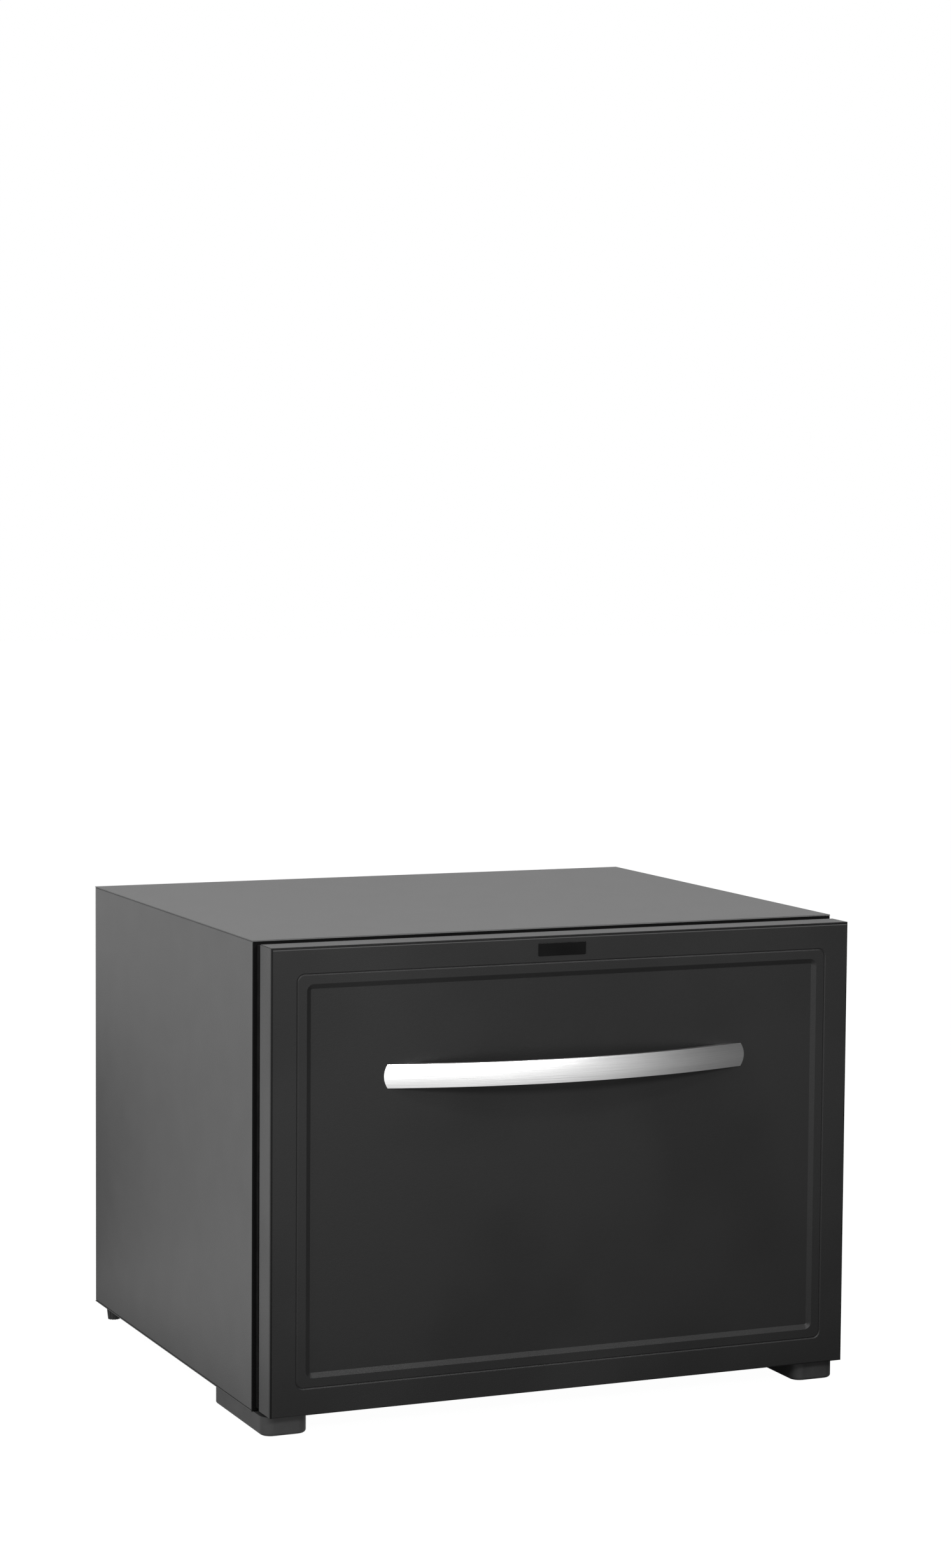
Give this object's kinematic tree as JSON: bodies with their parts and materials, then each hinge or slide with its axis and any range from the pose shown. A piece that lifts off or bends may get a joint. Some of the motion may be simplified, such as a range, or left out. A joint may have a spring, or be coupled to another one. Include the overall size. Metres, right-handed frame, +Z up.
{
  "type": "drawer minibar fridge",
  "caption": "Free-standing drawer minibar fridge: black steel box with one full-width pull-out drawer, arched metal handle, block feet in front and screw feet behind.",
  "frame": {"origin": "on the floor, under the centre of the closed fridge's bounding box", "axes": "+Z up, the drawer front faces -Y, +X to its right as seen from the front"},
  "size_m": [0.5, 0.4594, 0.379],
  "materials": {
    "bin_plastic": "satin grey",
    "black_plastic": "matte black",
    "black_steel": "matte black",
    "board_green": "solder-mask green",
    "cabinet_paint": "matte fine-textured black powder coat",
    "divider_plastic": "smoky, semi-gloss",
    "drawer_front_paint": "satin black paint over fine grain",
    "foam": "matte, fine closed cells",
    "galvanised_steel": "satin zinc",
    "gasket_rubber": "matte black",
    "glass_switch": "clear",
    "glide_plastic": "waxy off-white",
    "handle_metal": "brushed along its length, semi-gloss",
    "lens_plastic": "milky",
    "liner_plastic": "satin light grey",
    "magnet_dark": "dull dark grey",
    "module_ceramic": "matte white",
    "plate_gloss": "gloss black",
    "screw_steel": "zinc plated",
    "sink_aluminium": "mill finish",
    "supply_steel": "zinc"
  },
  "bodies": {
    "cabinet": {"top_panel": "cabinet_paint", "side_panel_left": "cabinet_paint", "side_panel_right": "cabinet_paint", "base_panel": "cabinet_paint", "rear_cover": "black_steel", "rear_bulkhead": "galvanised_steel", "cabinet_insulation": "foam", "inner_liner": "liner_plastic", "front_foot_left": "black_plastic", "front_foot_right": "black_plastic", "rear_foot_inserts": "screw_steel", "front_foot_screws": "screw_steel", "rear_cover_screws": "screw_steel", "thermoelectric_module": "module_ceramic", "cold_block": "sink_aluminium", "cold_sink": "sink_aluminium", "hot_sink": "sink_aluminium", "clamp_screws": "screw_steel", "rear_fan_frame": "black_plastic", "inner_fan_frame": "black_plastic", "air_cover": "liner_plastic", "air_cover_screws": "screw_steel", "thermostat_body": "black_plastic", "power_supply": "supply_steel", "control_board": "board_green", "cord_gland": "black_plastic", "lamp_lens": "lens_plastic", "lamp_board": "board_green", "reed_switch": "glass_switch", "runner_outer_left": "galvanised_steel", "runner_outer_right": "galvanised_steel", "runner_outer_glides": "glide_plastic", "runner_screws": "screw_steel"},
    "drawer": {"drawer_front_panel": "drawer_front_paint", "drawer_handle": "handle_metal", "name_plate": "plate_gloss", "drawer_gasket": "gasket_rubber", "drawer_front_insulation": "foam", "drawer_front_liner": "liner_plastic", "gasket_magnets": "magnet_dark", "handle_screws": "screw_steel", "switch_magnet": "magnet_dark", "drawer_arm_left": "galvanised_steel", "drawer_arm_right": "galvanised_steel", "arm_screws": "screw_steel", "runner_inner_left": "galvanised_steel", "runner_inner_right": "galvanised_steel", "runner_inner_glides": "glide_plastic", "drawer_bin": "bin_plastic", "bin_divider": "divider_plastic"},
    "runner_stage_left": {"runner_middle_left": "galvanised_steel", "runner_middle_glides_left": "glide_plastic"},
    "runner_stage_right": {"runner_middle_right": "galvanised_steel", "runner_middle_glides_right": "glide_plastic"},
    "rear_fan": {"rear_fan_rotor": "black_plastic"},
    "inner_fan": {"inner_fan_rotor": "black_plastic"},
    "thermostat": {"thermostat_knob": "black_plastic"},
    "screw_foot_left": {"rear_foot_left": "black_plastic"},
    "screw_foot_right": {"rear_foot_right": "black_plastic"}
  },
  "joints": [
    {"name": "drawer_slide", "type": "slide", "parent": "cabinet", "child": "drawer", "axis": [0, -1, 0], "range_m": [0, 0.24]},
    {"name": "runner_slide_left", "type": "slide", "parent": "cabinet", "child": "runner_stage_left", "axis": [0, -1, 0], "range_m": [0, 0.12]},
    {"name": "runner_slide_right", "type": "slide", "parent": "cabinet", "child": "runner_stage_right", "axis": [0, -1, 0], "range_m": [0, 0.12]},
    {"name": "rear_fan_spin", "type": "hinge", "parent": "cabinet", "child": "rear_fan", "pos_m": [0, 0.2145, 0.197], "axis": [0, 1, 0], "continuous": true},
    {"name": "inner_fan_spin", "type": "hinge", "parent": "cabinet", "child": "inner_fan", "pos_m": [0, 0.1129, 0.197], "axis": [0, 1, 0], "continuous": true},
    {"name": "thermostat_turn", "type": "hinge", "parent": "cabinet", "child": "thermostat", "pos_m": [0.092, 0.1009, 0.197], "axis": [0, -1, 0], "range_deg": [-135, 135]},
    {"name": "rear_foot_turn_left", "type": "hinge", "parent": "cabinet", "child": "screw_foot_left", "pos_m": [-0.236, 0.2187, 0.015], "axis": [0, 0, 1], "continuous": true},
    {"name": "rear_foot_turn_right", "type": "hinge", "parent": "cabinet", "child": "screw_foot_right", "pos_m": [0.236, 0.2187, 0.015], "axis": [0, 0, 1], "continuous": true}
  ],
  "couplings": [
    {"joint": "runner_slide_left", "follows": "drawer_slide", "ratio": 0.5},
    {"joint": "runner_slide_right", "follows": "drawer_slide", "ratio": 0.5}
  ]
}
